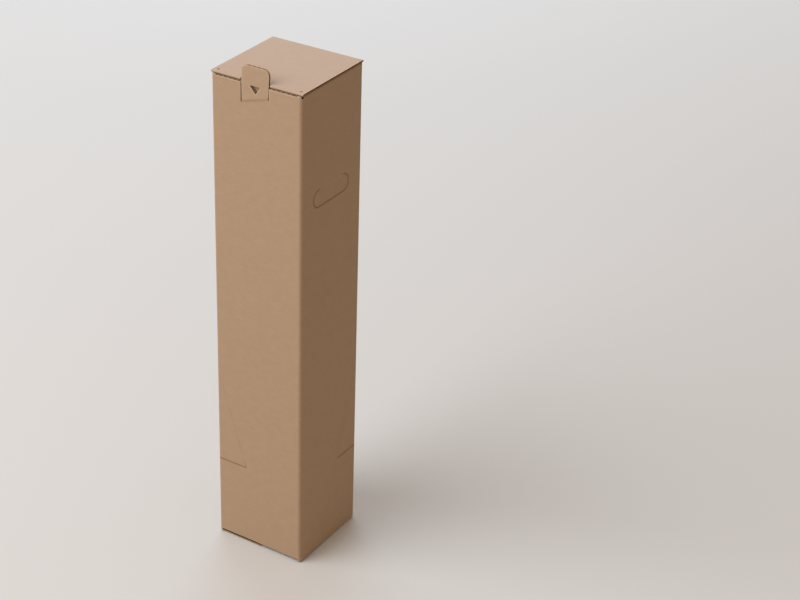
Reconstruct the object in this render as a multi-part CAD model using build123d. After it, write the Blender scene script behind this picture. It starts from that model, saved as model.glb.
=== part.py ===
from build123d import *
import os
from math import atan2, cos, degrees, radians, sin, sqrt

# A tall square carton of corrugated kraft board, closed, with a tuck-in lid and a crash-lock bottom.
# Millimetres. The base stands on z = 0, centred on the origin. Front is -Y, right is +X.

os.makedirs("parts", exist_ok=True)

# Outside of the closed carton
box_width = 120.0  # along X
box_depth = 120.0  # along Y
box_height = 615.0  # from the surface it stands on to the top of the lid

# The board and how closely it is folded
board = 2.6  # B-flute board, liner to liner
corner_radius = 4.0  # outer liner of the upright folds
layer_gap = 0.2  # between boards that lie on each other
fold_gap = 0.3  # between boards that turn on each other
cut_gap = 0.3  # width of a die-cut line
hinge_offset = 0.15  # a fold turns about a line this far outside its liner

# Lid
lid_overhang = 0.8  # past each side panel
lid_front_setback = 0.7  # its front fold, behind the front panel's face
lid_nose_radius = 1.8  # top of the front fold
lid_chin_radius = 0.6  # underside of the front fold
slit_length = 4.0  # slit lock, at each front corner of the lid
slit_width = 1.6
slit_inset_side = 3.2  # from the side panel's face
slit_inset_front = 6.0  # from the front panel's face

# Tuck flap, under the lid's front fold
tuck_length = 30.0
tuck_side_gap = 2.4  # at the fold, to each side panel
tuck_taper = 5.0  # each side, from the fold to the free edge
tuck_corner_radius = 10.0
tuck_setback = 1.2  # its face, behind the front panel's inner face
tuck_lean = 4.5  # degrees, free edge inwards

# Dust flaps, on the side panels' top folds
dust_tip_gap = 16.0  # between the two flaps' free edges
dust_front_setback = 9.5  # front edge at the fold, from the front panel's face
dust_rear_setback = 5.0  # rear edge at the fold, from the rear panel's face
dust_front_taper = 5.0
dust_rear_slope = 0.65  # over half, so that the opening lid stays clear
dust_corner_radius = 5.0

# Front panel's top edge
front_dip = 1.1  # between its shoulders it lies this much lower
shoulder_width = 6.0

# Lock tab, cut from the front panel
tab_left = 20.0  # from the centre line
tab_right = 17.0
tab_above_lid = 16.5  # top of the tab over the lid
tab_root_left = 27.5  # the slanted root crease, below the lid's top, at the left cut
tab_root_right = 17.2  # and at the right cut
tab_root_relief = 0.8  # each side, narrower at the root than at the top
tab_corner_radius = 7.0
tab_lean = 2.0  # degrees, top inwards
tab_notch_gap = 1.0  # each side of the tab, in the lid's edge
window_top_below_lid = 5.6
window_left = 9.0  # from the centre line
window_right = 5.5
window_point_left = 0.5
window_height = 9.2
window_corner_radius = 0.8

# Hand holes in the side panels
handle_length = 70.0
handle_height = 21.0
handle_centre_below_lid = 136.0
handle_forward = 1.5  # the right one's centre, from the middle of its panel

# Press-in corners, at the front left and rear right edges
corner_slit_height = 109.0
corner_facet_height = 134.0
corner_front_width = 42.0  # on the front and rear panels
corner_side_width = 40.0  # on the side panels

# Crash-lock bottom
foot_height = 1.6  # the side panels and corner folds end this far above the surface
lip_height = 4.9  # top of the outermost half of a bottom flap, where it turns up to its panel
lip_setback = 0.4  # its face, behind the panel's
ramp_width = 5.0  # where a bottom flap steps up a layer
ramp_end = 15.5  # the step stops this far from the centre
tongue_overlap = 14.0  # a bottom flap reaches this far past the centre
bottom_corner_radius = 8.0
side_flap_tip = 19.4  # free edge, from the centre line
side_flap_front_gap = 4.0  # its diagonal starts this far from the front panel
side_flap_rear_taper = 14.0
side_flap_rear_gap = 4.0
gusset_inset = 3.0

# Maker's joint
glue_flap_width = 30.0
glue_flap_end_gap = 22.0  # below the dust flaps and above the bottom flaps
glue_flap_taper = 6.0

# Worked out from the above
half_width = box_width / 2
half_depth = box_depth / 2
pitch = board + layer_gap  # one board and the gap over it
fold_radius = pitch  # outer liner of a fold
inner_radius = fold_radius - board
corner_inner_radius = corner_radius - board
flap_end_gap = corner_radius + fold_gap
mitre = 2 * board
lid_under = box_height - board
dust_top = lid_under - fold_gap
dust_under = dust_top - board
front_top = dust_top - front_dip
inner_width = box_width - 2 * board
inner_depth = box_depth - 2 * board
tuck_width = inner_width - 2 * tuck_side_gap
dust_length = half_width - dust_tip_gap / 2
dust_rear_taper = dust_rear_slope * dust_length
side_flap_length = inner_width / 2 - side_flap_tip
overrun = board


def block(x0, x1, y0, y1, z0, z1):
    """Box between two corners."""
    size = (x1 - x0, y1 - y0, z1 - z0)
    return Pos((x0 + x1) / 2, (y0 + y1) / 2, (z0 + z1) / 2) * Box(*size)


def outline(*points):
    return make_face(Polyline(*points, close=True))


def front_plate(sketch, thickness=board):
    """A sketch in (x, z), as a plate with its face on the front panel's."""
    return extrude(Plane.XZ.offset(half_depth) * sketch, amount=-thickness)


def right_plate(sketch, thickness=board):
    """A sketch in (y, z), as a plate with its face on the right panel's."""
    return extrude(Plane.YZ.offset(half_width) * sketch, amount=-thickness)


def half_turn(shape):
    """The carton's blank repeats after half a turn about the upright axis."""
    return Rot(0, 0, 180) * shape


def wall_ring():
    outer = RectangleRounded(box_width, box_depth, corner_radius)
    return outer - RectangleRounded(inner_width, inner_depth, corner_inner_radius)


def right_wall_plan():
    """Plan of the right wall, mitred at both corner folds."""
    wedge = outline(
        (half_width, -half_depth),
        (half_width, half_depth),
        (half_width - mitre, half_depth - mitre),
        (half_width - mitre, mitre - half_depth),
    )
    return wall_ring() & wedge


def front_wall_plan():
    wedge = outline(
        (-half_width, -half_depth),
        (half_width, -half_depth),
        (half_width - mitre, mitre - half_depth),
        (mitre - half_width, mitre - half_depth),
    )
    return wall_ring() & wedge


def fold_halves(down, along):
    """Section of a fold at the origin: the board below it, and the board it turns into, towards -x.

    Both are mitred back from the fold's middle by half the fold gap.
    """
    reach_x = along + overrun
    reach_y = down + overrun
    outer = Pos(-reach_x / 2, -reach_y / 2) * Rectangle(reach_x, reach_y)
    outer = fillet(outer.vertices().sort_by(lambda v: v.X + v.Y)[-1], fold_radius)
    inner = Pos(-reach_x / 2 - board, -reach_y / 2 - board) * Rectangle(reach_x, reach_y)
    inner = fillet(inner.vertices().sort_by(lambda v: v.X + v.Y)[-1], inner_radius)
    angle = outer - inner
    step = fold_gap / sqrt(2)
    far = reach_x + reach_y
    lower = outline((0, -step), (0, -far), (step - far, -far))
    lower &= Pos(-mitre / 2, -down / 2) * Rectangle(mitre, down)
    upper = outline((-step, 0), (-far, 0), (-far, step - far))
    upper &= Pos(-along / 2, -mitre / 2) * Rectangle(along, mitre)
    return angle & lower, angle & upper


def fold_middle(corner_across, corner_up):
    """Where the fold's outer liner is halfway round, moved out to the hinge line."""
    back = fold_radius - (fold_radius + hinge_offset) * cos(radians(45))
    return corner_across - back, corner_up - back


def corner_triangle(width):
    """Face of a press-in corner, from its edge at x = 0: the slit is its base."""
    return outline((-overrun, 0), (width, 0), (0, corner_facet_height), (-overrun, corner_facet_height))


def front_corner_cut(slit=0.0):
    """The front panel's part of the front left press-in corner, less a slit along its base."""
    shape = Pos(-half_width, corner_slit_height) * corner_triangle(corner_front_width)
    cutter = extrude(Plane.XZ.offset(half_depth + overrun) * shape, amount=-(2 * overrun + board))
    low = corner_slit_height + slit
    above = block(-box_width, box_width, -box_depth, box_depth, low, box_height)
    return cutter & above


def right_corner_cut(slit=0.0):
    """The right panel's part of the rear right press-in corner."""
    shape = Pos(half_depth, corner_slit_height) * mirror(corner_triangle(corner_side_width), about=Plane.YZ)
    cutter = extrude(Plane.YZ.offset(half_width + overrun) * shape, amount=-(2 * overrun + board))
    low = corner_slit_height + slit
    above = block(-box_width, box_width, -box_depth, box_depth, low, box_height)
    return cutter & above


def tab_outline(grow=0.0, relief=0.0):
    """The lock tab in (x, z), upright, with its top corners rounded."""
    left, right = -tab_left - grow, tab_right + grow
    top = box_height + tab_above_lid
    slope = (tab_root_left - tab_root_right) / (tab_left + tab_right)
    low_left = box_height - tab_root_left + (relief - grow) * slope
    low_right = box_height - tab_root_right + (grow - relief) * slope
    shape = outline((left + relief, low_left), (right - relief, low_right), (right, top), (left, top))
    return fillet(shape.vertices().group_by(Axis.Y)[-1], tab_corner_radius)


def tab_window():
    top = box_height - window_top_below_lid
    shape = outline(
        (-window_left, top),
        (window_right, top),
        (-window_point_left, top - window_height),
    )
    return fillet(shape.vertices(), window_corner_radius)


def tab_hinge():
    """A point on the tab's root crease, on the front panel's liner, and the crease's slope in degrees."""
    rise = tab_root_left - tab_root_right
    run = tab_left + tab_right
    middle_x = (tab_right - tab_left) / 2
    middle_z = box_height - (tab_root_left + tab_root_right) / 2
    return (middle_x, -half_depth - hinge_offset, middle_z), degrees(atan2(rise, run))


def lock_tab():
    over_crease = Pos(0, fold_gap) * tab_outline(relief=tab_root_relief)
    tab = front_plate((tab_outline(relief=tab_root_relief) & over_crease) - tab_window())
    point, slope = tab_hinge()
    axis = Axis(point, (cos(radians(slope)), 0, sin(radians(slope))))
    return tab.rotate(axis, -tab_lean)


def upright(plan, low, top):
    return Pos(0, 0, low) * extrude(plan, amount=top - low)


def front_upright(top):
    """The front wall over its bottom folds, with its corner folds carried down past their ends."""
    plan = front_wall_plan()
    between_corners = Rectangle(box_width - 2 * corner_radius, box_depth)
    wall = upright(plan, 2 * pitch, top) + upright(plan - between_corners, foot_height, 2 * pitch)
    over_lip = block(flap_end_gap - half_width, 0, -half_depth, board - half_depth, lip_height, 2 * pitch)
    return wall + over_lip


def front_wall():
    """The front panel with its corner face still in: its edges, steps and tab cut-out."""
    wall = front_upright(dust_top)
    shoulder = half_width - shoulder_width
    wall -= block(-shoulder, shoulder, -box_depth, 0, front_top, box_height)
    tab_hole = extrude(Plane.XZ.offset(half_depth + overrun) * tab_outline(cut_gap), amount=-mitre - overrun)
    return wall - tab_hole


def front_panel():
    return front_wall() - front_corner_cut()


def corner_facet_front():
    return front_wall() & front_corner_cut(cut_gap)


def hand_hole(shrink=0.0):
    """Outline of the hand hole in (y, z)."""
    length = handle_length - 2 * shrink
    height = handle_height - 2 * shrink
    centre = box_height - handle_centre_below_lid
    return Pos(-handle_forward, centre) * SlotOverall(length, height)


def right_wall():
    """The right panel with its corner face still in: mitred top fold and hand hole."""
    wall = upright(right_wall_plan(), foot_height, dust_top - fold_radius)
    length = box_depth - 2 * corner_radius
    below, _ = fold_halves(fold_radius, mitre)
    top_fold = Plane((half_width, length / 2, dust_top), x_dir=(1, 0, 0), z_dir=(0, -1, 0)) * below
    wall += extrude(top_fold, amount=length)
    hole = extrude(Plane.YZ.offset(half_width + overrun) * hand_hole(), amount=-mitre - overrun)
    return wall - hole


def right_panel():
    return right_wall() - right_corner_cut()


def corner_facet_right():
    return right_wall() & right_corner_cut(cut_gap)


def handle_flap_right():
    return right_plate(hand_hole(cut_gap))


def rear_wall():
    """The front wall's plan and bottom step turned half round, with the lid's fold at its top."""
    wall = half_turn(front_upright(box_height - fold_radius))
    below, _ = fold_halves(fold_radius, mitre)
    section = Plane((-half_width, half_depth, box_height), x_dir=(0, 1, 0), z_dir=(1, 0, 0)) * below
    return wall + extrude(section, amount=box_width)


def rear_panel():
    return rear_wall() - half_turn(front_corner_cut())


def corner_facet_rear():
    return rear_wall() & half_turn(front_corner_cut(cut_gap))


def glue_flap():
    low = 4 * pitch + glue_flap_end_gap
    high = dust_under - glue_flap_end_gap
    left = corner_inner_radius - inner_width / 2
    right = left + glue_flap_width
    shape = outline(
        (left, low),
        (right, low + glue_flap_taper),
        (right, high - glue_flap_taper),
        (left, high),
    )
    return extrude(Plane.XZ.offset(-inner_depth / 2) * shape, amount=board)


def lid_panel():
    """The lid, from its rear fold to the rounded front fold, notched for the tab and slit at its corners."""
    length = box_depth - lid_front_setback
    _, above = fold_halves(mitre, length)
    tips = above.vertices().group_by(Axis.X)[0].sort_by(Axis.Y)
    above = fillet(tips[-1], lid_nose_radius)
    tips = above.vertices().group_by(Axis.X)[0].sort_by(Axis.Y)
    above = fillet(tips[0], lid_chin_radius)
    reach = half_width + lid_overhang
    section = Plane((-reach, half_depth, box_height), x_dir=(0, 1, 0), z_dir=(1, 0, 0)) * above
    lid = extrude(section, amount=2 * reach)
    notch_back = tuck_setback + board - half_depth
    notch_left = -tab_left - tab_notch_gap
    notch_right = tab_right + tab_notch_gap
    lid -= block(notch_left, notch_right, -box_depth, notch_back, lid_under - overrun, box_height + overrun)
    slit_end = half_width - slit_inset_side
    slit_y = slit_inset_front - half_depth
    for side in (-1, 1):
        ends = sorted((side * slit_end, side * (slit_end - slit_length)))
        lid -= block(*ends, slit_y, slit_y + slit_width, lid_under - overrun, box_height + overrun)
    return lid


def tuck_hinge():
    """(y, z) of the line that the tuck flap turns about, at its inner liner."""
    return tuck_setback + 2 * board - half_depth, lid_under - fold_gap / 2


def tuck_flap():
    top = lid_under - fold_gap
    low = top - tuck_length
    half_top = tuck_width / 2
    half_low = half_top - tuck_taper
    shape = outline((-half_top, top), (half_top, top), (half_low, low), (-half_low, low))
    shape = fillet(shape.vertices().group_by(Axis.Y)[0], tuck_corner_radius)
    flap = extrude(Plane.XZ.offset(half_depth - board - tuck_setback) * shape, amount=-board)
    y, z = tuck_hinge()
    return flap.rotate(Axis((0, y, z), (1, 0, 0)), tuck_lean)


def dust_flap_right():
    """Turned in from the right panel's top fold, its rear edge tapered so that the lid can lift off it."""
    _, above = fold_halves(mitre, dust_length)
    section = Plane((half_width, half_depth, dust_top), x_dir=(1, 0, 0), z_dir=(0, -1, 0)) * above
    flap = extrude(section, amount=box_depth)
    root, tip = half_width, half_width - dust_length
    front = dust_front_setback - half_depth
    rear = half_depth - dust_rear_setback
    shape = outline(
        (root, front),
        (tip, front + dust_front_taper),
        (tip, rear - dust_rear_taper),
        (root, rear),
    )
    shape = fillet(shape.vertices().group_by(Axis.X)[0], dust_corner_radius)
    return flap & (Pos(0, 0, dust_under - overrun) * extrude(shape, amount=board + 2 * overrun))


def bottom_half(x0, x1, low, setback=0.0):
    """Half of the front bottom flap: its fold off the front panel, and its board at height low."""
    slab_length = half_depth + tongue_overlap - setback - fold_radius
    fold = Pos(fold_radius, low + fold_radius) * (Circle(fold_radius) - Circle(inner_radius))
    fold &= Pos(fold_radius / 2, low + fold_radius / 2) * Rectangle(fold_radius, fold_radius)
    slab = Pos(fold_radius + slab_length / 2, low + board / 2) * Rectangle(slab_length, board)
    section = Plane((x0, setback - half_depth, 0), x_dir=(0, 1, 0), z_dir=(1, 0, 0)) * (fold + slab)
    return extrude(section, amount=x1 - x0)


def bottom_flap_front():
    """Left half outermost, right half a layer higher, joined by a ramp and slit beyond it."""
    end = half_width - flap_end_gap
    ramp = ramp_width / 2
    face = lip_setback - half_depth
    left = bottom_half(-end, -cut_gap / 2, 0, lip_setback)
    left += block(-end, -cut_gap / 2, face, face + board, fold_radius, lip_height)
    right = bottom_half(cut_gap / 2, end, pitch)
    clear_y = fold_radius - half_depth
    gap = block(-ramp, ramp, clear_y, box_depth, -overrun, 2 * pitch)
    slope = outline((-ramp, 0), (ramp, pitch), (ramp, pitch + board), (-ramp, board))
    start = mitre - half_depth
    bridge = extrude(Plane.XZ.offset(-start) * slope, amount=start + ramp_end)
    flap = (left - gap) + (right - gap) + bridge
    free = flap.edges().filter_by(Axis.Z).group_by(Axis.Y)[-1]
    return fillet(free, bottom_corner_radius)


def side_flap_outline(inset=0.0):
    """The right side flap in (x, y): a diagonal front edge from the corner, and a tapered rear edge."""
    root = inner_width / 2 - inset
    tip = root - side_flap_length + 2 * inset
    front = side_flap_front_gap - inner_depth / 2 + inset
    rear = inner_depth / 2 - side_flap_rear_gap - inset
    return outline(
        (root, front),
        (root, rear),
        (tip, rear - side_flap_rear_taper),
        (tip, front + root - tip),
    )


def bottom_side_flap_right():
    return Pos(0, 0, 3 * pitch) * extrude(side_flap_outline(), amount=board)


def bottom_gusset_right():
    """The corner glued to the front bottom flap, folded under the side flap's diagonal."""
    root = inner_width / 2 - gusset_inset
    tip = root - side_flap_length + 2 * gusset_inset
    front = side_flap_front_gap - inner_depth / 2 + gusset_inset
    far = front + root - tip
    shape = outline((root, front), (root, far), (tip, far))
    return Pos(0, 0, 2 * pitch) * extrude(shape, amount=board)


right_side = {
    "right_panel": right_panel(),
    "handle_flap_right": handle_flap_right(),
    "corner_facet_right": corner_facet_right(),
    "bottom_side_flap_right": bottom_side_flap_right(),
    "bottom_gusset_right": bottom_gusset_right(),
}
nodes = dict(right_side)
for name, shape in right_side.items():
    nodes[name.replace("right", "left")] = half_turn(shape)
nodes["dust_flap_right"] = dust_flap_right()
nodes["dust_flap_left"] = mirror(nodes["dust_flap_right"], about=Plane.YZ)
nodes["front_panel"] = front_panel()
nodes["corner_facet_front"] = corner_facet_front()
nodes["rear_panel"] = rear_panel()
nodes["corner_facet_rear"] = corner_facet_rear()
nodes["glue_flap"] = glue_flap()
nodes["bottom_flap_front"] = bottom_flap_front()
nodes["bottom_flap_rear"] = half_turn(nodes["bottom_flap_front"])
nodes["lid_panel"] = lid_panel()
nodes["tuck_flap"] = tuck_flap()
nodes["lock_tab"] = lock_tab()

for name, shape in nodes.items():
    export_step(shape, f"parts/{name}.step")

# Hinge lines, for the record
lid_y, lid_z = fold_middle(half_depth, box_height)
dust_x, dust_z = fold_middle(half_width, dust_top)
tab_point, tab_slope = tab_hinge()
tuck_y, tuck_z = tuck_hinge()
handle_z = box_height - handle_centre_below_lid + handle_height / 2 - cut_gap / 2
print(f"lid hinge y {lid_y:.3f} z {lid_z:.3f}")
print(f"dust flap hinge x {dust_x:.3f} z {dust_z:.3f}")
print(f"tuck flap hinge y {tuck_y:.3f} z {tuck_z:.3f}")
print(f"lock tab hinge {tab_point[0]:.3f} {tab_point[1]:.3f} {tab_point[2]:.3f}, slope {tab_slope:.3f} degrees")
print(f"handle flap hinge x {half_width - board - hinge_offset:.3f} z {handle_z:.3f}")
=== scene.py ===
import bpy
from math import atan2, ceil, cos, floor, hypot, pi, radians, sin
import numpy as np
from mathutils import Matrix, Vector
from mathutils.geometry import delaunay_2d_cdt


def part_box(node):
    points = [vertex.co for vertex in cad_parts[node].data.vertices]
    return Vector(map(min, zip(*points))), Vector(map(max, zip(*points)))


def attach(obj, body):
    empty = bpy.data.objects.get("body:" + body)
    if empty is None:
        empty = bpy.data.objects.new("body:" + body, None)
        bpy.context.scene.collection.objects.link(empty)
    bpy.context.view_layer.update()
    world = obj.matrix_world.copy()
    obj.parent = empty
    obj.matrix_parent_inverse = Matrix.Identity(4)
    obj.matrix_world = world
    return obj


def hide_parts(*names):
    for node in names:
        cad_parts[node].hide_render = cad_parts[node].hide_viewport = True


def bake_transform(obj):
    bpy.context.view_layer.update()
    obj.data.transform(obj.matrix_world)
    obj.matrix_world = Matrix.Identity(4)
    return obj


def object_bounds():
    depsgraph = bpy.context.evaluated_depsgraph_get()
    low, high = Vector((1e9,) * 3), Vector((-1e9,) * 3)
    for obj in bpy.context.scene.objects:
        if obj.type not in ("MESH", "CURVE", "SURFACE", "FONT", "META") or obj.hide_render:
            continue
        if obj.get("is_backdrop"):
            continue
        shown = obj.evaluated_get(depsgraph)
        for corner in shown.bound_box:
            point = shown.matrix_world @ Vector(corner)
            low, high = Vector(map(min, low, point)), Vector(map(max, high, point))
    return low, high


# A tall square gift carton of corrugated kraft board, closed, with its tuck-in lid and lock tab.
# Every board is made as the real one is: two kraft liners with a fluted medium between them.
# A board's outline is read from its frame node, laid out flat in mm, and folded back into place.

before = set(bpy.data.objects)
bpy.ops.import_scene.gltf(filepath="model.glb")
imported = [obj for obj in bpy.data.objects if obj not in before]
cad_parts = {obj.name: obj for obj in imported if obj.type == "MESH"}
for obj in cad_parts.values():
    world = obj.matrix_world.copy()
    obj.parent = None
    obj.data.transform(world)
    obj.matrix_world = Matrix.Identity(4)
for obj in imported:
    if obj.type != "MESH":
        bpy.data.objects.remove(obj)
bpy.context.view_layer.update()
mm = 0.001

board = dict(
    thick=2.6,  # B-flute board, liner to liner
    liner=0.3,  # 150 g kraft liner, drawn a little heavier so that its edge shows
    medium=0.24,
    mediumShare=0.9,  # in a crushed fold the medium takes at most this much of its room
    flute=6.4,  # one wave of the medium
    foldRadius=2.8,  # outer liner round a fold
    crushShare=0.8,  # a fold is fully crushed this much of the way to its middle
    setBack=0.12,  # the medium's cut ends lie this far behind the liners' edges
    channelSetBack=1.8,  # and further in where the cut runs along a flute and opens it
    rimWidth=0.35,  # the cutting rule presses the liner's edge down
    rimDepth=0.12,
    closedGap=0.6,  # a cut with another board this near is a closed one
    cutShadeWidth=0.5,  # and painted shade darkens its edges this far in, for the dark gap of the closed cut
    creaseGap=0.05,  # boards this near join at a score, which shows less
    # a score gets this share of the painted shade, for its groove
    scoreShadeShare=0.3,
    foldSpared=0.9,  # a fold gets as little rubbing and painted highlight as a face this far from an edge
    wearAndHighlightWidth=2.5,  # faces are divided here, so that the rubbed edges and their painted highlight come out even
    insideShift=900,  # the inner liner shows another stretch of the paper
    sharpAngle=50,  # faces that meet at more degrees than this keep a crisp edge
)

# How finely the boards are divided into faces, in mm
cells = dict(
    grid=15.0,  # a liner's faces
    alongFlute=60.0,  # the medium's, which are long along a flute
    perFlute=8,
    foldTurn=pi / 32,  # angle of one face round a fold
    leadRows=3,  # rows in the half board's width before a fold
    overrun=1.0,  # a dividing line runs past the outline by this
    mitreReach=3,  # a corner is drawn in by at most this many times its sides
    cellOutput=4,  # delaunay_2d_cdt's number for whole cells, each a valid mesh face
)

# How near counts as the same, in mm
near = dict(
    digits=3,  # spots that agree to 0.001 are one
    face=0.04,  # a vertex this near the outer face is on it
    join=0.02,
    front=0.01,
    edge=1e-3,
    least=1e-4,  # a length shorter than this is none
    straight=0.02,  # sine of a turn too small for a corner
)
farOff = 99.0  # further than any edge that matters


# Materials

def linear(code):
    # sRGB hex to the linear colour that a shader takes
    parts = [int(code[k:k + 2], 16) / 255 for k in (1, 3, 5)]
    return [c / 12.92 if c <= 0.04045 else ((c + 0.055) / 1.055) ** 2.4 for c in parts] + [1.0]


def addNode(tree, kind, inputs=None, **settings):
    # one shader node with its settings, values and links; a colour mix takes its colours at 6 and 7 and
    # gives its result at output 2
    node = tree.nodes.new(kind)
    for key, value in settings.items():
        setattr(node, key, value)
    for key, value in (inputs or {}).items():
        if isinstance(value, bpy.types.NodeSocket):
            tree.links.new(value, node.inputs[key])
        else:
            node.inputs[key].default_value = value
    return node


def newMaterial(name):
    material = bpy.data.materials.new(name)
    material.use_nodes = True
    material.node_tree.nodes.clear()
    return material, material.node_tree


# Kraft liner: unbleached softwood paper, calendered. Matt, cloudy at a few mm, with long fibres that run
# across the flutes, dark shives, and a faint washboard over the flutes beneath. Sizes are in mm.
kraftPaper = dict(
    dark="#a5866c",
    pulp="#b09175",
    pale="#bb9c80",
    shive="#6d4f37",
    # pale rubbed edges, with a painted highlight along them
    wornAndHighlit="#d2b698",
    cutShade="#573517",  # painted shade of the dark gap beside a cut that stayed closed, and fainter in a score's groove
    cutShadeShare=0.6,
    cloudSize=11.0,
    cloudShare=0.3,  # how much each pattern moves the tone
    fibreLength=16.0,
    fibreWidth=1.1,  # real fibres are 0.03 mm wide; drawn coarse enough to show
    fibreShare=0.4,
    grainSize=0.8,
    grainShare=0.5,
    toneShift=-0.1,
    darkAt=0.15,  # places of the three colours on the tone's ramp
    pulpAt=0.5,
    paleAt=0.85,
    shiveLength=3.4,
    shiveWidth=1.0,  # real ones are 0.2 mm wide
    shiveSlant=0.12,  # radians off the fibres
    shiveFrom=0.71,  # only the noise's peaks are shives
    shiveTo=0.78,
    shiveShare=0.3,
    wornAndHighlitReach=1.4,
    roughness=0.62,
    roughnessSwing=0.05,
    specular=0.42,
    reliefHeight=0.05,
    washboard=0.22,  # heights of the flutes and the fibres, beside 1 for the grain
    fibreRelief=0.7,
)


def kraftLiner(look):
    material, tree = newMaterial("kraft_liner")
    blank = addNode(tree, "ShaderNodeAttribute", attribute_name="blank").outputs["Vector"]
    edge = addNode(tree, "ShaderNodeAttribute", attribute_name="edge").outputs["Fac"]
    cutShade = addNode(tree, "ShaderNodeAttribute", attribute_name="cutShade").outputs["Fac"]

    # clouds, fibres and grain make the pulp's tone
    clouds = addNode(tree, "ShaderNodeTexNoise", {
        "Vector": blank, "Scale": 1 / look["cloudSize"], "Detail": 3.0, "Roughness": 0.55,
    }).outputs["Fac"]
    fibreSpot = addNode(tree, "ShaderNodeMapping", {
        "Vector": blank, "Scale": (1 / look["fibreLength"], 1 / look["fibreWidth"], 1.0),
    }).outputs["Vector"]
    fibres = addNode(tree, "ShaderNodeTexNoise", {
        "Vector": fibreSpot, "Scale": 1.0, "Detail": 2.0, "Roughness": 0.6, "Distortion": 0.4,
    }).outputs["Fac"]
    grain = addNode(tree, "ShaderNodeTexNoise", {
        "Vector": blank, "Scale": 1 / look["grainSize"], "Detail": 2.0, "Roughness": 0.7,
    }).outputs["Fac"]
    tone = look["toneShift"]
    for pattern, share in ((clouds, "cloudShare"), (fibres, "fibreShare"), (grain, "grainShare")):
        tone = addNode(tree, "ShaderNodeMath", {
            0: pattern, 1: look[share], 2: tone,
        }, operation="MULTIPLY_ADD").outputs[0]
    ramp = addNode(tree, "ShaderNodeValToRGB", {"Fac": tone})
    stops = ramp.color_ramp.elements
    stops[0].position, stops[1].position = look["darkAt"], look["paleAt"]
    stops[0].color, stops[1].color = linear(look["dark"]), linear(look["pale"])
    stops.new(look["pulpAt"]).color = linear(look["pulp"])

    # shives over it, then rubbed edges with a painted highlight, and painted shade along closed cuts and
    # scores
    shiveSpot = addNode(tree, "ShaderNodeMapping", {
        "Vector": blank, "Scale": (1 / look["shiveLength"], 1 / look["shiveWidth"], 1.0),
        "Rotation": (0.0, 0.0, look["shiveSlant"]),
    }).outputs["Vector"]
    specks = addNode(tree, "ShaderNodeTexNoise", {
        "Vector": shiveSpot, "Scale": 1.0, "Detail": 1.0, "Roughness": 0.5,
    }).outputs["Fac"]
    shives = addNode(tree, "ShaderNodeMapRange", {
        "Value": specks, "From Min": look["shiveFrom"], "From Max": look["shiveTo"],
        "To Min": 0.0, "To Max": look["shiveShare"],
    }).outputs[0]
    flecked = addNode(tree, "ShaderNodeMix", {
        "Factor": shives, 6: ramp.outputs["Color"], 7: linear(look["shive"]),
    }, data_type="RGBA").outputs[2]
    # free edges paler: real rubbing, and a painted highlight along them
    rubbedHighlit = addNode(tree, "ShaderNodeMapRange", {
        "Value": edge, "From Min": 0.0, "From Max": look["wornAndHighlitReach"], "To Min": 1.0, "To Max": 0.0,
    }).outputs[0]
    patchy = addNode(tree, "ShaderNodeMath", {0: rubbedHighlit, 1: grain}, operation="MULTIPLY").outputs[0]
    paler = addNode(tree, "ShaderNodeMix", {
        "Factor": patchy, 6: flecked, 7: linear(look["wornAndHighlit"]),
    }, data_type="RGBA").outputs[2]
    # painted shade along closed cuts and scores, for the dark of their gaps and grooves
    cutShadeMix = addNode(tree, "ShaderNodeMath", {
        0: cutShade, 1: look["cutShadeShare"],
    }, operation="MULTIPLY").outputs[0]
    colour = addNode(tree, "ShaderNodeMix", {
        "Factor": cutShadeMix, 6: paler, 7: linear(look["cutShade"]),
    }, data_type="RGBA").outputs[2]

    # washboard, fibres and grain in low relief
    acrossBlank = addNode(tree, "ShaderNodeSeparateXYZ", {"Vector": blank}).outputs["X"]
    angle = addNode(tree, "ShaderNodeMath", {
        0: acrossBlank, 1: 2 * pi / board["flute"],
    }, operation="MULTIPLY").outputs[0]
    wave = addNode(tree, "ShaderNodeMath", {0: angle}, operation="SINE").outputs[0]
    height = grain
    for pattern, share in ((wave, "washboard"), (fibres, "fibreRelief")):
        height = addNode(tree, "ShaderNodeMath", {
            0: pattern, 1: look[share], 2: height,
        }, operation="MULTIPLY_ADD").outputs[0]
    bump = addNode(tree, "ShaderNodeBump", {
        "Height": height, "Strength": 0.5, "Distance": look["reliefHeight"] * mm,
    }).outputs["Normal"]
    gloss = addNode(tree, "ShaderNodeMapRange", {
        "Value": clouds, "From Min": 0.3, "From Max": 0.7,
        "To Min": look["roughness"] - look["roughnessSwing"],
        "To Max": look["roughness"] + look["roughnessSwing"],
    }).outputs[0]
    shader = addNode(tree, "ShaderNodeBsdfPrincipled", {
        "Base Color": colour, "Roughness": gloss, "Specular IOR Level": look["specular"], "Normal": bump,
    })
    addNode(tree, "ShaderNodeOutputMaterial", {"Surface": shader.outputs[0]})
    return material


# Fluted medium: recycled brown paper, soft and rough; its colours are darker than the paper's own, painted
# shade for the dark between the liners.
shadedFlutingPaper = dict(
    dark="#4a2e17",
    pale="#64432a",
    grainSize=0.6,
    roughness=0.9,
    specular=0.2,
    reliefHeight=0.08,
)

# Cut edge of the liner: torn fibre ends, rougher and browner than the calendered face; its colours are
# darker than the fibres' own, painted shade for a cut edge in shadow.
shadedTornPaper = dict(
    dark="#6d4526",
    pale="#956b45",
    grainSize=0.35,
    roughness=0.85,
    specular=0.25,
    reliefHeight=0.05,
)


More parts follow.
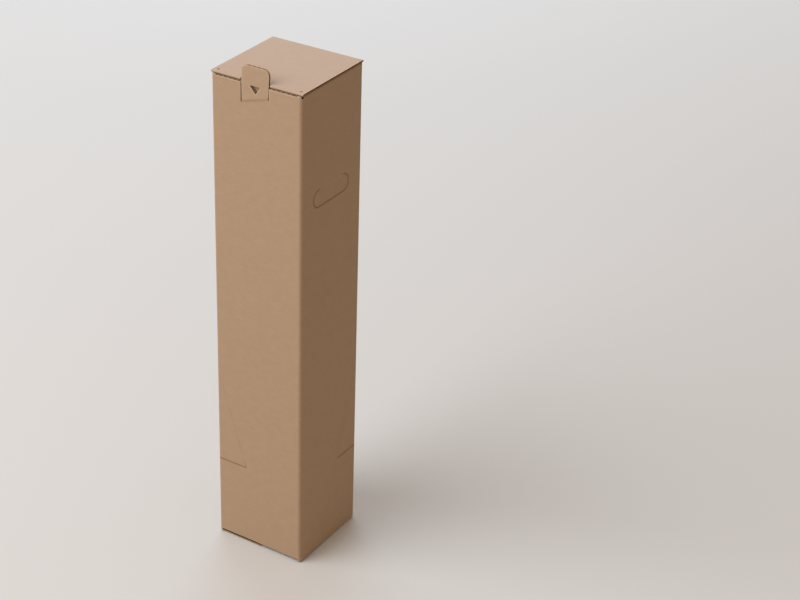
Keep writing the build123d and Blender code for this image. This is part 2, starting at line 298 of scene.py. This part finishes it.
def roughPaper(name, look):
    material, tree = newMaterial(name)
    blank = addNode(tree, "ShaderNodeAttribute", attribute_name="blank").outputs["Vector"]
    grain = addNode(tree, "ShaderNodeTexNoise", {
        "Vector": blank, "Scale": 1 / look["grainSize"], "Detail": 3.0, "Roughness": 0.65,
    }).outputs["Fac"]
    colour = addNode(tree, "ShaderNodeMix", {
        "Factor": grain, 6: linear(look["dark"]), 7: linear(look["pale"]),
    }, data_type="RGBA").outputs[2]
    bump = addNode(tree, "ShaderNodeBump", {
        "Height": grain, "Strength": 0.6, "Distance": look["reliefHeight"] * mm,
    }).outputs["Normal"]
    shader = addNode(tree, "ShaderNodeBsdfPrincipled", {
        "Base Color": colour, "Roughness": look["roughness"], "Specular IOR Level": look["specular"],
        "Normal": bump,
    })
    addNode(tree, "ShaderNodeOutputMaterial", {"Surface": shader.outputs[0]})
    return material


papers = [
    kraftLiner(kraftPaper),
    roughPaper("fluted_medium", shadedFlutingPaper),
    roughPaper("liner_cut_edge", shadedTornPaper),
]
linerFace, mediumFace, edgeFace = range(len(papers))
print("materials: kraft liner, fluted medium, cut edge")


# How a board lies
# A flat spot is a place across and along the flutes, and its depth is measured from the outer face inwards.

acrossFlutes, alongFlutes = 0, 1


def layOf(outward, along, face, folds=(), lift=None, join=None):
    # the way the outer face looks and how far out it is, the way the flutes run, the folds at the board's
    # ends, how far spots stand back from the plane, and the height of an edge where the next node's board
    # carries on without a cut
    out, flutes = Vector(outward).normalized(), Vector(along).normalized()
    return dict(
        across=flutes.cross(out), along=flutes, outward=out,
        face=face, folds=list(folds), lift=lift, join=join,
    )


def fold(axis, side, start, thin, radius=board["foldRadius"], limit=pi / 2, half=0):
    # beyond start on that side the board turns back round a radius, and is crushed to the thickness thin;
    # a half of -1 or 1 is a fold on that side of the middle only
    return dict(axis=axis, side=side, start=start, radius=radius, limit=limit, thin=thin, half=half)


def pastFold(f, spot):
    # how far beyond a fold's start a flat spot lies
    return f["side"] * spot[f["axis"]] - f["start"]


def place(lay, s, v, w):
    # point in the frame of the flat spot (s, v), at depth w
    spot, depth = [s, v], w
    for f in lay["folds"]:
        past = pastFold(f, spot)
        if past > 0 and f["half"] * s >= 0:
            r, turn = f["radius"], min(past / f["radius"], f["limit"])
            rest = past - r * turn
            spot[f["axis"]] = f["side"] * (f["start"] + (r - w) * sin(turn) + rest * cos(turn))
            depth = r - (r - w) * cos(turn) + rest * sin(turn)
    lift = lay["lift"](s, v) if lay["lift"] else 0.0
    out = lay["face"] - lift - depth
    return (lay["across"] * spot[0] + lay["along"] * spot[1] + lay["outward"] * out) * mm


def unplace(lay, point):
    # the flat spot and depth of a point in the frame
    p = Vector(point) / mm
    spot = [p.dot(lay["across"]), p.dot(lay["along"])]
    lift = lay["lift"](*spot) if lay["lift"] else 0.0
    depth = lay["face"] - p.dot(lay["outward"]) - lift
    for f in lay["folds"]:
        past = pastFold(f, spot)
        if past > near["least"] and f["half"] * spot[0] >= 0:
            r = f["radius"]
            turn = atan2(past, r - depth)
            spot[f["axis"]] = f["side"] * (f["start"] + r * turn)
            depth = r - hypot(past, r - depth)
    return spot[0], spot[1], depth


def thickness(lay, s, v):
    # the board's thickness, crushed smoothly towards the middle of each fold
    left = board["thick"]
    lead = board["thick"] / 2
    for f in lay["folds"]:
        past = pastFold(f, (s, v)) + lead
        if past > 0:
            t = min(1.0, past / (lead + f["radius"] * pi / 4 * board["crushShare"]))
            left = min(left, board["thick"] - (board["thick"] - f["thin"]) * t * t * (3 - 2 * t))
    return left


def foldAway(lay, s, v):
    # distance from the middle of the nearest fold
    nearest = farOff
    for f in lay["folds"]:
        nearest = min(nearest, abs(pastFold(f, (s, v)) - f["radius"] * pi / 4))
    return nearest


# Flat outlines
# A loop has the board on its left.

def sidesOf(loops):
    return [(a, b) for loop in loops for a, b in zip(loop, loop[1:] + loop[:1])]


def outlines(node, lay):
    # loops round a node's outer face, laid flat
    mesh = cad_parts[node].data
    spots = [unplace(lay, vertex.co) for vertex in mesh.vertices]
    flat = [(round(s, near["digits"]), round(v, near["digits"])) for s, v, depth in spots]
    sides = set()
    for face in mesh.polygons:
        if all(abs(spots[i][2]) < near["face"] for i in face.vertices):
            ring = [flat[i] for i in face.vertices]
            sides.update((a, b) for a, b in sidesOf([ring]) if a != b)
    after = {a: b for a, b in sorted(sides) if (b, a) not in sides}
    loops = []
    while after:
        spot = min(after)
        loop = []
        while spot in after:
            loop.append(spot)
            spot = after.pop(spot)
        loops.append(loop)
    return loops


def laidIn(lay, ownLay, spots):
    # flat spots of one lay, in the flat of another
    return [unplace(lay, place(ownLay, *p, 0.0))[:2] for p in spots]


def edgesIn(lay, node, ownLay):
    # the edges of a node's outline, in the flat of a lay beside its own
    return sidesOf([laidIn(lay, ownLay, loop) for loop in outlines(node, ownLay)])


def isSeam(lay, a, b):
    # whether the next board carries on from an edge: it lies in a join, or over halfway to a fold's middle
    if lay["join"] is not None and all(abs(p[1] - lay["join"]) < near["join"] for p in (a, b)):
        return True
    return any(all(pastFold(f, p) > f["radius"] * pi / 8 for p in (a, b)) for f in lay["folds"])


def inset(lay, loops, by, alongBy=None):
    # loops drawn in from the cut edges, and not from the seams; further in from the ones along the flutes
    alongBy = by if alongBy is None else alongBy
    most = cells["mitreReach"] * max(by, alongBy)
    made = []
    for loop in loops:
        ring = []
        count = len(loop)
        for k in range(count):
            p0, p1, p2 = (Vector(loop[(k + j) % count]) for j in (-1, 0, 1))
            d0, d1 = (p1 - p0).normalized(), (p2 - p1).normalized()
            o0 = 0.0 if isSeam(lay, p0, p1) else by + (alongBy - by) * abs(d0.y)
            o1 = 0.0 if isSeam(lay, p1, p2) else by + (alongBy - by) * abs(d1.y)
            n0, n1 = Vector((-d0.y, d0.x)) * o0, Vector((-d1.y, d1.x)) * o1
            cross = d0.x * d1.y - d0.y * d1.x
            if abs(cross) < near["straight"]:
                ring.append(tuple(p1 + (n0 + n1 if 0 in (o0, o1) else (n0 + n1) / 2)))
                continue
            gap = n1 - n0
            t = (gap.x * d1.y - gap.y * d1.x) / cross
            ring.append(tuple(p1 + n0 + d0 * max(-most, min(most, t))))
        made.append(ring)
    return made


def isInside(loops, points):
    inside = np.zeros(len(points), bool)
    x, y = points[:, 0], points[:, 1]
    for (x0, y0), (x1, y1) in sidesOf(loops):
        if y0 != y1:
            crosses = (y0 > y) != (y1 > y)
            inside ^= crosses & (x < (x1 - x0) * (y - y0) / (y1 - y0) + x0)
    return inside


def distanceTo(segments, spots):
    # distance of each flat spot to the nearest of some segments
    p = np.array(spots)
    nearest = np.full(len(p), farOff)
    for a, b in segments:
        a, b = np.array(a), np.array(b)
        d = b - a
        t = np.clip(((p - a) @ d) / max(d @ d, near["least"] ** 2), 0, 1)
        nearest = np.minimum(nearest, np.hypot(*(p - a - t[:, None] * d).T))
    return nearest


def cutSheet(loops, lines, rings=()):
    # flat cells inside the loops, divided along the lines and rings
    points, edges = [], []
    for loop in list(loops) + list(rings):
        first, count = len(points), len(loop)
        points += [Vector(p) for p in loop]
        edges += [(first + k, first + (k + 1) % count) for k in range(count)]
    for a, b in lines:
        edges.append((len(points), len(points) + 1))
        points += [Vector(a), Vector(b)]
    made = delaunay_2d_cdt(points, edges, [], cells["cellOutput"], near["least"], False)
    spots, faces = np.array([tuple(p) for p in made[0]]), made[2]
    middles = np.array([spots[list(f)].mean(0) for f in faces])
    kept = [f for f, keep in zip(faces, isInside(loops, middles)) if keep]
    # without the spots that no cell uses any more
    used = sorted({i for f in kept for i in f})
    new = {old: k for k, old in enumerate(used)}
    return [tuple(float(c) for c in spots[i]) for i in used], [tuple(new[i] for i in f) for f in kept]


def spaced(low, high, step):
    return [k * step for k in range(ceil(low / step), floor(high / step) + 1)]


def gridLines(lay, loops, acrossStep, alongStep):
    # lines along and across the flutes, closer in the folds
    spots = [p for loop in loops for p in loop]
    (left, right), (low, high) = ((min(p[k] for p in spots), max(p[k] for p in spots)) for k in (0, 1))
    at = [spaced(left, right, acrossStep), spaced(low, high, alongStep)]
    for f in lay["folds"]:
        rows, steps = cells["leadRows"], ceil(f["limit"] / cells["foldTurn"])
        lead = [f["start"] - board["thick"] / 2 * k / rows for k in range(rows + 1)]
        turned = [f["start"] + f["radius"] * f["limit"] * k / steps for k in range(1, steps + 1)]
        at[f["axis"]] += [f["side"] * c for c in lead + turned]
    over = cells["overrun"]
    lines = [((s, low - over), (s, high + over)) for s in at[acrossFlutes] if left < s < right]
    lines += [((left - over, v), (right + over, v)) for v in at[alongFlutes] if low < v < high]
    return lines


# Building a piece

def newStack():
    return dict(points=[], faces=[], papers=[], blanks=[], edges=[], cutShade=[])


def addShell(stack, lay, sheet, depths, paperPair, blankAt, away, cutShade=None):
    # a thin closed solid over a flat sheet, between an upper and a lower depth of each spot, with one paper
    # on its faces and one on its rim; away is how far each spot is from a rubbed edge with a painted
    # highlight, and the last list how much painted shade each spot gets
    spots, faces = sheet
    first, count = len(stack["points"]), len(spots)
    facePaper, rimPaper = paperPair
    for depth in depths:
        for k, (s, v) in enumerate(spots):
            stack["points"].append(place(lay, s, v, depth[k]))
            stack["blanks"].append((s + blankAt[0], v + blankAt[1], depth[k]))
            stack["edges"].append(float(away[k]))
            stack["cutShade"].append(0.0 if cutShade is None else float(cutShade[k]))
    for f in faces:
        stack["faces"].append(tuple(first + i for i in f))
        stack["faces"].append(tuple(first + count + i for i in reversed(f)))
        stack["papers"] += [facePaper, facePaper]
    sides = set(sidesOf(faces))
    for a, b in sorted(sides):
        if (b, a) not in sides:
            stack["faces"].append((first + b, first + a, first + count + a, first + count + b))
            stack["papers"].append(rimPaper)


def marksOf(lay, spots, cuts, besides):
    # how far each spot is from a rubbed edge, which also gets a painted highlight, and how much painted
    # shade it gets. An edge with another board close by isn't rubbed: a closed cut gets dark painted shade
    # for its gap, and a score faint painted shade for its groove
    gaps = distanceTo(besides, [(Vector(a) + Vector(b)) / 2 for a, b in cuts])
    opened = [c for c, gap in zip(cuts, gaps) if gap > board["closedGap"]]
    closed = [c for c, gap in zip(cuts, gaps) if board["creaseGap"] < gap < board["closedGap"]]
    scored = [c for c, gap in zip(cuts, gaps) if gap < board["creaseGap"]]
    folds = [foldAway(lay, s, v) + board["foldSpared"] for s, v in spots]
    away = np.minimum(distanceTo(opened, spots), folds)
    cutShade = np.clip(1 - distanceTo(closed, spots) / board["cutShadeWidth"], 0, 1)
    onScore = distanceTo(scored, spots) < board["rimWidth"] / 2
    return away, np.maximum(cutShade, board["scoreShadeShare"] * onScore)


def innerLiner(thick):
    # the inner liner's thickness where the board is so thick: at most a third of a crushed board
    return min(board["liner"], thick / 3)


def waveDepths(lay, spots):
    # upper and lower face of the medium, which waves between the two liners
    upper, lower = [], []
    for s, v in spots:
        thick = thickness(lay, s, v)
        room = thick - board["liner"] - innerLiner(thick)
        half = min(board["medium"], board["mediumShare"] * room) / 2
        swing = room / 2 - half
        middle = board["liner"] + room / 2 - swing * cos(2 * pi * s / board["flute"])
        upper.append(middle - half)
        lower.append(middle + half)
    return upper, lower


def addBoard(stack, lay, loops, blankAt, innerLoops=None, mediumLoops=None, besides=()):
    # outer liner, inner liner and fluted medium of one board, the last two with outlines of their own if
    # these are given; besides are the edges of the boards round it
    rings = inset(lay, loops, board["rimWidth"]) + inset(lay, loops, board["wearAndHighlightWidth"])
    sheet = cutSheet(loops, gridLines(lay, loops, cells["grid"], cells["grid"]), rings)
    cuts = [side for side in sidesOf(loops) if not isSeam(lay, *side)]
    away, cutShade = marksOf(lay, sheet[0], cuts, besides)
    rim = [board["rimDepth"] if d < near["edge"] else 0.0 for d in distanceTo(cuts, sheet[0])]
    liner = [board["liner"]] * len(rim)
    addShell(stack, lay, sheet, (rim, liner), (linerFace, edgeFace), blankAt, away, cutShade)

    if innerLoops:
        sheet = cutSheet(innerLoops, gridLines(lay, innerLoops, cells["grid"], cells["grid"]))
        away = distanceTo(sidesOf(innerLoops), sheet[0])
    under = [thickness(lay, s, v) for s, v in sheet[0]]
    over = [thick - innerLiner(thick) for thick in under]
    insideAt = (blankAt[0], blankAt[1] + board["insideShift"])
    addShell(stack, lay, sheet, (over, under), (linerFace, edgeFace), insideAt, away)

    mediumLoops = inset(lay, mediumLoops or loops, board["setBack"], board["channelSetBack"])
    lines = gridLines(lay, mediumLoops, board["flute"] / cells["perFlute"], cells["alongFlute"])
    wavy = cutSheet(mediumLoops, lines)
    depths = waveDepths(lay, wavy[0])
    addShell(stack, lay, wavy, depths, (mediumFace, mediumFace), blankAt, [farOff] * len(wavy[0]))


def newPiece(name, stack):
    mesh = bpy.data.meshes.new(name)
    mesh.from_pydata([tuple(p) for p in stack["points"]], [], stack["faces"])
    for material in papers:
        mesh.materials.append(material)
    mesh.polygons.foreach_set("material_index", stack["papers"])
    mesh.polygons.foreach_set("use_smooth", [k == mediumFace for k in stack["papers"]])
    blank = mesh.attributes.new("blank", "FLOAT_VECTOR", "POINT")
    blank.data.foreach_set("vector", np.array(stack["blanks"], np.float32).ravel())
    edge = mesh.attributes.new("edge", "FLOAT", "POINT")
    edge.data.foreach_set("value", np.array(stack["edges"], np.float32))
    # how much painted shade each spot gets, along closed cuts and scores
    cutShade = mesh.attributes.new("cutShade", "FLOAT", "POINT")
    cutShade.data.foreach_set("value", np.array(stack["cutShade"], np.float32))
    mesh.set_sharp_from_angle(angle=radians(board["sharpAngle"]))
    mesh.update()
    piece = bpy.data.objects.new(name, mesh)
    bpy.context.scene.collection.objects.link(piece)
    return piece


def finishPiece(node, stack, body):
    piece = newPiece(node + "_board", stack)
    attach(piece, body)
    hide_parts(node)


def makeBoard(node, lay, body, blankAt, besides=()):
    # a piece of one plain board
    stack = newStack()
    addBoard(stack, lay, outlines(node, lay), blankAt, besides=besides)
    finishPiece(node, stack, body)


def leaningLay(node, guess, likeness=0.98):
    # the lay of an upright board whose face leans a few degrees from the guess; likeness is the least
    # cosine of the angle between them
    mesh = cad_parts[node].data
    out = Vector()
    for face in mesh.polygons:
        if face.normal.dot(Vector(guess)) > likeness:
            out += face.normal * face.area
    out.normalize()
    along = out.cross(Vector((1, 0, 0)))
    outermost = max(vertex.co.dot(out) for vertex in mesh.vertices) / mm
    return layOf(out, along if along.z > 0 else -along, outermost)


def faceAt(node, way):
    # where a node's box ends on one side, such as +x, in mm
    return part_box(node)["-+".index(way[0])]["xyz".index(way[1])] / mm


# Walls

halfWidth = faceAt("right_panel", "+x")
halfDepth = -faceAt("front_panel", "-y")
lidTop = faceAt("lid_panel", "+z")
dustTop = faceAt("dust_flap_right", "+z")
handleTop = faceAt("handle_flap_right", "+z")
bottomTop = faceAt("bottom_flap_front", "+z")
foldStart = halfWidth - board["foldRadius"]  # the carton is square, so this serves both ways

walls = dict(
    cornerRadius=4.0,  # outer liner round an upright fold
    corner=1.7,  # thickness left where the board is crushed at an upright fold
    hinge=0.6,  # and at a fold that a flap turns on
    foldGap=0.3,  # between a hand hole's flap and its panel
)
cornerStart = halfWidth - walls["cornerRadius"]
wallWidth = 2 * (cornerStart + walls["cornerRadius"] * pi / 4)
corners = [
    fold(acrossFlutes, side, cornerStart, walls["corner"], radius=walls["cornerRadius"]) for side in (1, -1)
]
sideFolds = corners + [fold(alongFlutes, 1, dustTop - board["foldRadius"], walls["hinge"])]
rearFold = fold(alongFlutes, 1, lidTop - board["foldRadius"], walls["hinge"])
up = (0, 0, 1)
lays = dict(
    front=layOf((0, -1, 0), up, halfDepth, corners, join=bottomTop),
    right=layOf((1, 0, 0), up, halfWidth, sideFolds, join=handleTop + walls["foldGap"]),
    rear=layOf((0, 1, 0), up, halfDepth, corners, join=bottomTop),
    left=layOf((-1, 0, 0), up, halfWidth, sideFolds, join=handleTop + walls["foldGap"]),
)
rearTopLay = layOf((0, 1, 0), up, halfDepth, [rearFold])
tabLay = leaningLay("lock_tab", (0, -1, 0))
flapsIn = dict(front={"lock_tab": tabLay}, rear={})
handleLays = {}
for side in ("right", "left"):
    handleLays[side] = layOf(lays[side]["outward"], up, halfWidth, join=handleTop)
    flapsIn[side] = {f"handle_flap_{side}": handleLays[side]}

for k, (side, lay) in enumerate(lays.items()):
    blankAt = (k * wallWidth, 0.0)
    panel, facet = f"{side}_panel", f"corner_facet_{side}"
    neighbours = {panel: lay, facet: lay, **flapsIn[side]}
    for node in (panel, facet):
        besides = [edge for n, own in neighbours.items() if n != node for edge in edgesIn(lay, n, own)]
        stack = newStack()
        addBoard(stack, lay, outlines(node, lay), blankAt, besides=besides)
        if node == "rear_panel":
            # its half of the fold that the lid turns on
            low, high = rearFold["start"], max(v for loop in outlines(node, rearTopLay) for s, v in loop)
            strip = [(-halfWidth, low), (halfWidth, low), (halfWidth, high), (-halfWidth, high)]
            addBoard(stack, rearTopLay, [strip], blankAt)
        finishPiece(node, stack, "carton")
print("walls and press-in corners")

handleFlap = dict(
    blankAt=(300, 0),  # the stretch of paper that it shows
    rootReach=30,  # its crease is the widest edge this near the middle
)
for side, lay in handleLays.items():
    besides = edgesIn(lay, f"{side}_panel", lays[side])
    makeBoard(f"handle_flap_{side}", lay, f"handle_{side}", handleFlap["blankAt"], besides)
print("hand hole flaps")


# Lid

lidPanel = dict(
    noseRadius=board["thick"] / 2,
    returnBehind=1.8,  # the outer liner comes back under the front fold, to this far behind its middle
    mediumAhead=0.7,  # and the medium ends this far in front of that middle
)
nose = faceAt("lid_panel", "-y") + lidPanel["noseRadius"]
returnTo = nose + lidPanel["returnBehind"]
mediumTo = nose - lidPanel["mediumAhead"]
noseEnd = nose - lidPanel["noseRadius"] * pi - (returnTo - nose)
rearHinge = fold(alongFlutes, 1, foldStart, walls["hinge"])
noseFold = fold(alongFlutes, -1, -nose, board["thick"], radius=lidPanel["noseRadius"], limit=pi)
lidLay = layOf(up, (0, 1, 0), lidTop, [rearHinge])
noseLay = dict(lidLay, folds=[rearHinge, noseFold])
topFace = outlines("lid_panel", lidLay)
frontLine = min(v for loop in topFace for s, v in loop)


def lidTo(line):
    # the lid's outline with its front edge moved to a line, and nothing left in front of that
    foremost = frontLine + near["front"]
    return [[(s, line if v < foremost else max(v, line)) for s, v in loop] for loop in topFace]


stack = newStack()
addBoard(
    stack, noseLay, lidTo(noseEnd), (2 * wallWidth, lidTop),
    innerLoops=lidTo(returnTo), mediumLoops=lidTo(mediumTo),
)
finishPiece("lid_panel", stack, "lid")
print("lid")


# Flaps

lockTab = dict(blankAt=(0, 30), rootReach=25)
tabSides = edgesIn(tabLay, "front_panel", lays["front"])
makeBoard("lock_tab", tabLay, "tab", lockTab["blankAt"], tabSides)

tuckFlap = dict(
    blankAt=(2 * wallWidth, 200),
    rootReach=70,
    lidGap=0.45,  # the leaning flap's top edge is this far below the lid at its outer face
)
tuckLay = leaningLay("tuck_flap", (0, -1, 0))
makeBoard("tuck_flap", tuckLay, "tuck", tuckFlap["blankAt"])

dustFlap = dict(blankX=-150, blankY=700)
dustLays = {}
for side, sign in (("right", 1), ("left", -1)):
    dustLays[side] = layOf(up, (sign, 0, 0), dustTop, [rearHinge])
    blankAt = (sign * dustFlap["blankX"], dustFlap["blankY"])
    makeBoard(f"dust_flap_{side}", dustLays[side], f"dust_{side}", blankAt)

glueFlap = dict(blankAt=(-90, 0))
makeBoard("glue_flap", layOf((0, 1, 0), up, faceAt("glue_flap", "+y")), "carton", glueFlap["blankAt"])
print("lock tab, tuck flap, dust flaps, glue flap")


# Bottom

bottomFlap = dict(
    layer=2.8,  # one board and the gap over it
    rampHalf=2.5,  # half the width of the ramp between the two halves
    rampEnd=54.8,  # further out than this they are slit apart
    lipSetBack=0.4,  # the outermost half turns up this far behind its panel's face
    blankX=500,
    blankY=-300,
)
sideFlap = dict(blankX=300, blankY=-500)


def rampLift(s, v):
    # the right half lies one layer higher than the left, with a ramp between them
    if v > bottomFlap["rampEnd"]:
        return bottomFlap["layer"] if s > 0 else 0.0
    climb = (s + bottomFlap["rampHalf"]) / (2 * bottomFlap["rampHalf"])
    return bottomFlap["layer"] * min(1.0, max(0.0, climb))


down = (0, 0, -1)
lipFold = fold(alongFlutes, 1, foldStart - bottomFlap["lipSetBack"], board["thick"], half=-1)
plainFold = fold(alongFlutes, 1, foldStart, board["thick"], half=1)
for side, sign in (("front", -1), ("rear", 1)):
    lay = layOf(down, (0, sign, 0), 0.0, [lipFold, plainFold], rampLift)
    blankAt = (sign * bottomFlap["blankX"], bottomFlap["blankY"])
    makeBoard(f"bottom_flap_{side}", lay, "carton", blankAt)
for side, sign in (("right", 1), ("left", -1)):
    blankAt = (sign * sideFlap["blankX"], sideFlap["blankY"])
    for node in (f"bottom_side_flap_{side}", f"bottom_gusset_{side}"):
        makeBoard(node, layOf(down, (sign, 0, 0), -faceAt(node, "-z")), "carton", blankAt)
print("crash-lock bottom")


# Creases that the flaps turn on

crease = dict(rows=12, columns=12)


def makeCrease(name, lay, fromEdge, toEdge, thin, bodies, blankAt=(0.0, 0.0)):
    # a strip of crushed board across a hinged fold, between two bodies; bodies is not used
    rows, columns = crease["rows"], crease["columns"]
    (a0, a1), (b0, b1) = ([Vector(p) for p in edge] for edge in (fromEdge, toEdge))
    spots = []
    for r in range(rows + 1):
        left, right = a0.lerp(b0, r / rows), a1.lerp(b1, r / rows)
        spots += [tuple(left.lerp(right, c / columns)) for c in range(columns + 1)]
    faces = []
    for r in range(rows):
        for c in range(columns):
            k = r * (columns + 1) + c
            faces.append((k, k + 1, k + columns + 2, k + columns + 1))
    if (a1 - a0).cross(b0 - a0) < 0:
        faces = [f[::-1] for f in faces]
    stack = newStack()
    zeros = [0.0] * len(spots)
    addShell(stack, lay, (spots, faces), (zeros, [thin] * len(spots)), (linerFace, edgeFace), blankAt, zeros)
    piece = newPiece(name, stack)
    # the corners of its first and last edges, placed in the frame
    first = [place(lay, *p, 0.0) for p in (a0, a1)]
    last = [place(lay, *p, 0.0) for p in (b0, b1)]
    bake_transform(piece)


def reachOf(node, lay):
    # how far a board reaches into the fold at its top
    return max(v for loop in outlines(node, lay) for s, v in loop)


def makeTopCrease(name, panel, lay, flap, flapLay, ends, body):
    # from a panel's end to its flap's, round the quarter fold at the panel's top
    low = reachOf(panel, lay)
    foldLength = board["foldRadius"] * pi / 2
    high = lay["folds"][-1]["start"] + foldLength - (reachOf(flap, flapLay) - foldStart)
    edges = ([(s, v) for s in ends] for v in (low, high))
    makeCrease(name, lay, *edges, walls["hinge"], ("carton", body))


def widestEdge(node, lay, reach):
    # the widest straight edge within reach of the middle, and the higher of two alike, from left to right
    edges = [sorted(side) for side in sidesOf(outlines(node, lay))]
    edges = [(a, b) for a, b in edges if -reach < a[0] and b[0] < reach]
    return max(edges, key=lambda edge: (round(edge[1][0] - edge[0][0], 1), edge[0][1]))


makeTopCrease("lid_crease", "rear_panel", rearTopLay, "lid_panel", lidLay, (-halfWidth, halfWidth), "lid")
for side in ("right", "left"):
    panel, flap, flapLay = f"{side}_panel", f"dust_flap_{side}", dustLays[side]
    ends = sorted(-s for loop in outlines(flap, flapLay) for s, v in loop if v > foldStart)
    ends = (ends[0], ends[-1])
    makeTopCrease(f"dust_crease_{side}", panel, lays[side], flap, flapLay, ends, f"dust_{side}")
for side in ("right", "left"):
    lay, reach = lays[side], handleFlap["rootReach"]
    root = widestEdge(f"{side}_panel", lay, reach)
    flapEnd = widestEdge(f"handle_flap_{side}", lay, reach)
    makeCrease(f"handle_crease_{side}", lay, root, flapEnd, board["thick"], ("carton", f"handle_{side}"))

# the tab's root is slanted, and on the panel it is as wide as on the tab
front = lays["front"]
(s0, v0), (s1, v1) = widestEdge("front_panel", front, lockTab["rootReach"])
tabEnd = laidIn(front, tabLay, widestEdge("lock_tab", tabLay, lockTab["rootReach"]))
tabRoot = [(s, v0 + (v1 - v0) * (s - s0) / (s1 - s0)) for s, v in tabEnd]
makeCrease("tab_crease", front, tabRoot, tabEnd, board["thick"], ("carton", "tab"), lockTab["blankAt"])

tuckEnd = widestEdge("tuck_flap", tuckLay, tuckFlap["rootReach"])
tuckRoot = [(s, v + tuckFlap["lidGap"]) for s, v in tuckEnd]
makeCrease("tuck_crease", tuckLay, tuckRoot, tuckEnd, board["thick"], ("lid", "tuck"))
print("creases")


# Floor, light and camera
# Distances are in metres.

studio = dict(
    floor="#cdc8c3",
    floorBounce="#aca49a",  # the floor as the carton sees it
    floorSize=60.0,
    fadeFrom=0.9,  # from here on the floor runs out into the backdrop
    fadeTo=4.5,
    backdrop="#e6e4e2",
    worldLight="#ffedd8",
    worldStrength=0.54,
)


def makeFloor(values):
    # matt pale paper, which keeps the carton's shadow and has no horizon in any view
    half = values["floorSize"] / 2
    square = [(-half, -half, 0), (half, -half, 0), (half, half, 0), (-half, half, 0)]
    mesh = bpy.data.meshes.new("studio_floor")
    mesh.from_pydata(square, [], [(0, 1, 2, 3)])
    material, tree = newMaterial("studio_floor_paper")
    seen = addNode(tree, "ShaderNodeLightPath").outputs["Is Camera Ray"]
    colour = addNode(tree, "ShaderNodeMix", {
        "Factor": seen, 6: linear(values["floorBounce"]), 7: linear(values["floor"]),
    }, data_type="RGBA").outputs[2]
    shader = addNode(tree, "ShaderNodeBsdfPrincipled", {
        "Base Color": colour, "Roughness": 0.9, "Specular IOR Level": 0.1,
    })
    spot = addNode(tree, "ShaderNodeNewGeometry").outputs["Position"]
    reach = addNode(tree, "ShaderNodeVectorMath", {0: spot}, operation="LENGTH").outputs["Value"]
    gone = addNode(tree, "ShaderNodeMapRange", {
        "Value": reach, "From Min": values["fadeFrom"], "From Max": values["fadeTo"],
        "To Min": 0.0, "To Max": 1.0,
    }, interpolation_type="SMOOTHSTEP").outputs[0]
    fade = addNode(tree, "ShaderNodeMath", {0: gone, 1: seen}, operation="MULTIPLY").outputs[0]
    glow = addNode(tree, "ShaderNodeEmission", {
        "Color": linear(values["backdrop"]), "Strength": 1.0,
    }).outputs[0]
    mix = addNode(tree, "ShaderNodeMixShader", {0: fade, 1: shader.outputs[0], 2: glow}).outputs[0]
    addNode(tree, "ShaderNodeOutputMaterial", {"Surface": mix})
    mesh.materials.append(material)
    floorPiece = bpy.data.objects.new("studio_floor", mesh)
    bpy.context.scene.collection.objects.link(floorPiece)
    floorPiece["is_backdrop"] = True


def makeWorld(values):
    # the camera sees the backdrop's colour, and the carton is lit by a dimmer, warmer one
    world = bpy.data.worlds.new("studio_world")
    bpy.context.scene.world = world
    world.use_nodes = True
    tree = world.node_tree
    tree.nodes.clear()
    seen = addNode(tree, "ShaderNodeLightPath").outputs["Is Camera Ray"]
    lit = addNode(tree, "ShaderNodeBackground", {
        "Color": linear(values["worldLight"]), "Strength": values["worldStrength"],
    }).outputs[0]
    shown = addNode(tree, "ShaderNodeBackground", {
        "Color": linear(values["backdrop"]), "Strength": 1.0,
    }).outputs[0]
    mix = addNode(tree, "ShaderNodeMixShader", {0: seen, 1: lit, 2: shown}).outputs[0]
    addNode(tree, "ShaderNodeOutputWorld", {"Surface": mix})


lamps = dict(
    key=dict(toward=(-0.42, -0.62, 0.66), distance=4.0, size=3.8, watts=162.0, colour="#eff7ff"),
    back=dict(toward=(-0.5, 0.72, 0.50), distance=3.2, size=3.0, watts=57.0, colour="#cae4ff"),
)


def makeLamp(name, values, aim):
    light = bpy.data.lights.new(name, "AREA")
    light.shape = "DISK"
    light.size = values["size"]
    light.energy = values["watts"]
    light.color = linear(values["colour"])[:3]
    lamp = bpy.data.objects.new(name, light)
    lamp.visible_camera = False
    toward = Vector(values["toward"]).normalized()
    lamp.location = aim + toward * values["distance"]
    lamp.rotation_mode = "QUATERNION"
    lamp.rotation_quaternion = (-toward).to_track_quat("-Z", "Y")
    bpy.context.scene.collection.objects.link(lamp)


# The camera was fitted to the carton's corners in the photograph. Its place is given in box widths.
view = dict(
    azimuth=34.81,
    elevation=29.43,
    toRight=-0.0178,
    toUp=2.3174,
    toBack=20.2996,
    lens=87.84,
    sensor=36.0,
    shift=0.1429,
    clipEnd=100.0,
)


def makeCamera(values):
    a, e = radians(values["azimuth"]), radians(values["elevation"])
    right = Vector((cos(a), sin(a), 0))
    back = Vector((sin(a) * cos(e), -cos(a) * cos(e), sin(e)))
    above = back.cross(right)
    camera = bpy.data.objects.new("camera", bpy.data.cameras.new("camera"))
    camera.data.lens = values["lens"]
    camera.data.sensor_width = values["sensor"]
    camera.data.shift_x = values["shift"]
    camera.data.clip_end = values["clipEnd"]
    away = right * values["toRight"] + above * values["toUp"] + back * values["toBack"]
    camera.location = away * 2 * halfWidth * mm
    camera.rotation_mode = "QUATERNION"
    camera.rotation_quaternion = (-back).to_track_quat("-Z", "Y")
    bpy.context.scene.collection.objects.link(camera)
    bpy.context.scene.camera = camera


makeFloor(studio)
makeWorld(studio)
middle = Vector((0, 0, lidTop / 2 * mm))
for name, values in lamps.items():
    makeLamp(f"{name}_lamp", values, middle)
makeCamera(view)
bpy.context.scene.view_settings.view_transform = "Standard"
print("floor, light and camera")

low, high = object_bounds()
